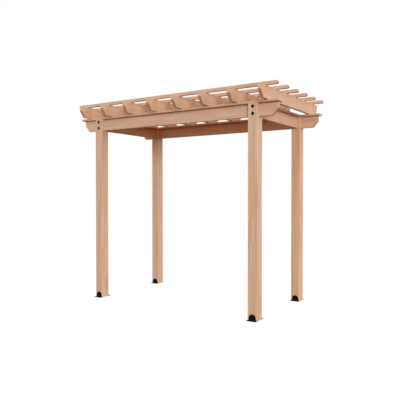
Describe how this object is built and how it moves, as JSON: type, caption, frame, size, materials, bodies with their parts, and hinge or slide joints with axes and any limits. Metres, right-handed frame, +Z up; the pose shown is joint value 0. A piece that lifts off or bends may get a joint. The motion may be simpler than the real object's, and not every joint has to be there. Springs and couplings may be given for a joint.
{
  "type": "wooden pergola",
  "caption": "Freestanding timber pergola: slotted square posts, bolted beams, flat top plates, clipped rafters and crossing roof slats, on black steel post anchors.",
  "frame": {"origin": "on the ground, at the middle of the four posts", "axes": "+X to the right along the long side, +Y to the back along the short side, +Z up"},
  "size_m": [2.866, 1.62, 2.526],
  "materials": {
    "post_timber": "planed softwood, clear oil, satin",
    "beam_timber": "planed softwood, clear oil, satin",
    "plate_timber": "planed softwood, clear oil, satin",
    "rafter_timber": "planed softwood, clear oil, satin",
    "slat_timber": "planed softwood, clear oil, satin",
    "black_steel": "black powder coat, fine texture"
  },
  "bodies": {
    "root": {"front_left_post": "post_timber", "front_right_post": "post_timber", "back_left_post": "post_timber", "back_right_post": "post_timber", "front_beam": "beam_timber", "back_beam": "beam_timber", "left_side_beam": "beam_timber", "right_side_beam": "beam_timber", "front_top_plate": "plate_timber", "back_top_plate": "plate_timber", "left_top_plate": "plate_timber", "right_top_plate": "plate_timber", "rafter_1": "rafter_timber", "rafter_2": "rafter_timber", "rafter_3": "rafter_timber", "rafter_4": "rafter_timber", "rafter_5": "rafter_timber", "rafter_6": "rafter_timber", "rafter_7": "rafter_timber", "rafter_8": "rafter_timber", "slat_1": "slat_timber", "slat_2": "slat_timber", "slat_3": "slat_timber", "slat_4": "slat_timber", "slat_5": "slat_timber", "slat_6": "slat_timber", "front_left_beam_bolts": "black_steel", "front_right_beam_bolts": "black_steel", "back_left_beam_bolts": "black_steel", "back_right_beam_bolts": "black_steel", "front_left_outer_anchor": "black_steel", "front_left_inner_anchor": "black_steel", "front_right_outer_anchor": "black_steel", "front_right_inner_anchor": "black_steel", "back_left_outer_anchor": "black_steel", "back_left_inner_anchor": "black_steel", "back_right_outer_anchor": "black_steel", "back_right_inner_anchor": "black_steel", "front_left_anchor_screws": "black_steel", "front_right_anchor_screws": "black_steel", "back_left_anchor_screws": "black_steel", "back_right_anchor_screws": "black_steel"}
  },
  "joints": []
}
